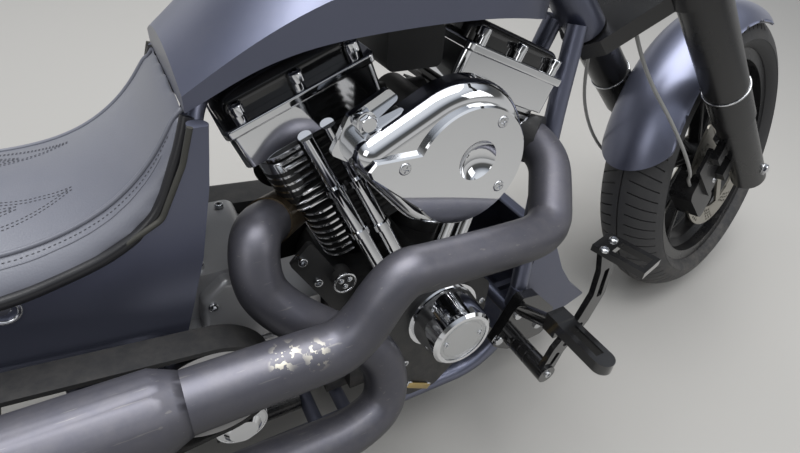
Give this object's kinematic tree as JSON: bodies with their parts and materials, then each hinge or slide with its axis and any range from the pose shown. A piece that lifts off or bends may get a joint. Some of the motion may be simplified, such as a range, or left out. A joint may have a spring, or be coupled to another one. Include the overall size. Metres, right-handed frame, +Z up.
{
  "type": "chopper motorcycle",
  "caption": "Low custom chopper with a long raked fork, open V-twin engine, belt drive, stretched tank, scooped seat and fat rear tyre, on its side stand.",
  "frame": {"origin": "point where the rear tyre meets the floor, below the rear axle", "axes": "+X forward, +Y to the rider's left, +Z up; the machine leans to +Y on its side stand"},
  "size_m": [2.3401, 0.8169, 1.0313],
  "materials": {
    "satin_black": "satin",
    "chrome": "polished",
    "black_casting": "wrinkled",
    "polished_alloy": "polished",
    "brushed_alloy": "brushed",
    "steel": "brushed",
    "body_paint": "satin",
    "exhaust_black": "satin with chips",
    "seat_leather": "stitched",
    "tyre_rubber": "matt",
    "rubber": "matt",
    "red_lens": "gloss",
    "clear_lens": "clear"
  },
  "bodies": {
    "root": {"frame_backbone": "body_paint", "frame_downtubes": "body_paint", "frame_rails": "body_paint", "frame_rear": "body_paint", "swingarm": "satin_black", "rear_shocks": "satin_black", "crankcase": "black_casting", "cylinder_rear": "black_casting", "cylinder_front": "black_casting", "rocker_boxes": "chrome", "rocker_covers": "black_casting", "pushrod_tubes": "chrome", "timer_cover": "chrome", "intake": "black_casting", "coil": "rubber", "air_cleaner": "chrome", "oil_filter": "chrome", "gearbox": "polished_alloy", "primary_cover": "black_casting", "drive_belt": "rubber", "front_pulley": "steel", "exhaust_front": "exhaust_black", "exhaust_rear": "exhaust_black", "fuel_tank": "body_paint", "seat": "seat_leather", "cowl": "body_paint", "rear_fender": "body_paint", "tail_lamp": "red_lens", "chin_spoiler": "body_paint", "controls_right": "satin_black", "controls_left": "satin_black", "rear_axle": "steel", "rear_caliper": "satin_black"},
    "steering": {"triple_trees": "satin_black", "fork_legs": "satin_black", "front_axle": "steel", "handlebar": "satin_black", "hand_controls": "satin_black", "headlamp": "satin_black", "headlamp_glass": "clear_lens", "front_fender": "body_paint", "front_calipers": "satin_black", "brake_hoses": "rubber"},
    "front_wheel": {"front_tyre": "tyre_rubber", "front_rim": "satin_black", "front_discs": "steel"},
    "rear_wheel": {"rear_tyre": "tyre_rubber", "rear_rim": "satin_black", "rear_disc": "steel", "rear_pulley": "satin_black"},
    "side_stand": {"side_stand": "satin_black"}
  },
  "joints": [
    {"name": "steering", "type": "hinge", "parent": "root", "child": "steering", "pos_m": [1.62439, 0.03682, 0.23434], "axis": [-0.717, 0.109, 0.6885], "range_deg": [-32, 0]},
    {"name": "front_wheel_spin", "type": "hinge", "parent": "steering", "child": "front_wheel", "pos_m": [1.6981, 0.07863, 0.30447], "axis": [-0.1921, 0.9185, -0.3456], "continuous": true},
    {"name": "rear_wheel_spin", "type": "hinge", "parent": "root", "child": "rear_wheel", "pos_m": [0.00111, 0.05131, 0.32581], "axis": [0, 0.9877, -0.1564], "continuous": true},
    {"name": "side_stand_fold", "type": "hinge", "parent": "root", "child": "side_stand", "pos_m": [0.64031, 0.15561, 0.07019], "axis": [0.0555, 0.2894, 0.9556], "range_deg": [0, 95.5]}
  ]
}
